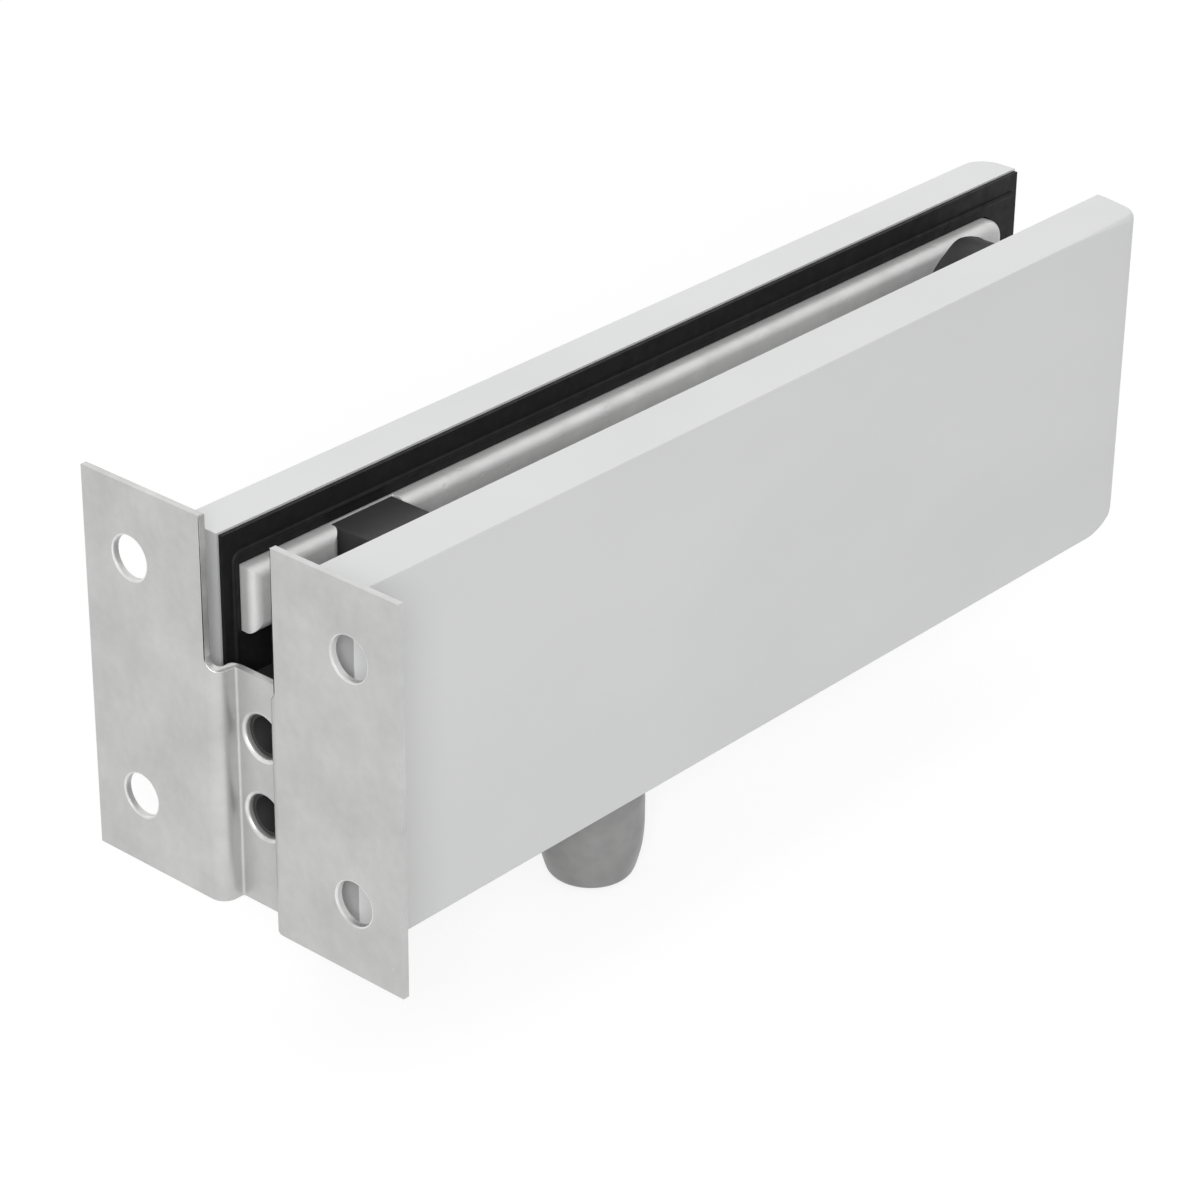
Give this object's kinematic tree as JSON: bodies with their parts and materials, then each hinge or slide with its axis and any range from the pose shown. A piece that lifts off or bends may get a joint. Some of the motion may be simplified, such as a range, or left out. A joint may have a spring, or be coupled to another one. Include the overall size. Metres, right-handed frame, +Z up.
{
  "type": "glass patch fitting",
  "caption": "Over-panel glass patch fitting: two box covers over cast clamp bodies, a folded wall bracket at one end and a crowned pivot pin below.",
  "frame": {"origin": "centre of the bracket's four wall holes, on the face that lies on the wall", "axes": "+X away from the wall along the fitting, +Y across the glass towards the rear cover, +Z up"},
  "size_m": [0.1684, 0.0544, 0.0769],
  "materials": {
    "cover_metal": "fine satin, even",
    "bracket_sheet": "zinc plated sheet, faintly mottled",
    "casting": "bead blasted casting",
    "gasket_rubber": "matt",
    "core_black": "blackened",
    "pin_steel": "turned and tumbled",
    "screw_steel": "zinc plated",
    "black_plastic": "moulded, satin",
    "spring_steel": "tempered strip"
  },
  "bodies": {
    "root": {"wall_bracket": "bracket_sheet", "front_cover": "cover_metal", "rear_cover": "cover_metal", "front_body": "casting", "rear_body": "casting", "front_gasket": "gasket_rubber", "rear_gasket": "gasket_rubber", "core_block": "core_black", "pivot_pin": "pin_steel", "pin_lock_screw": "screw_steel", "spacer_block": "black_plastic", "clamp_bush": "black_plastic", "clamp_screw_left": "screw_steel", "clamp_screw_middle": "screw_steel", "clamp_screw_right": "screw_steel", "core_screw_left": "screw_steel", "core_screw_right": "screw_steel", "front_clip_top": "spring_steel", "front_clip_bottom": "spring_steel", "rear_clip_top": "spring_steel", "rear_clip_bottom": "spring_steel"}
  },
  "joints": []
}
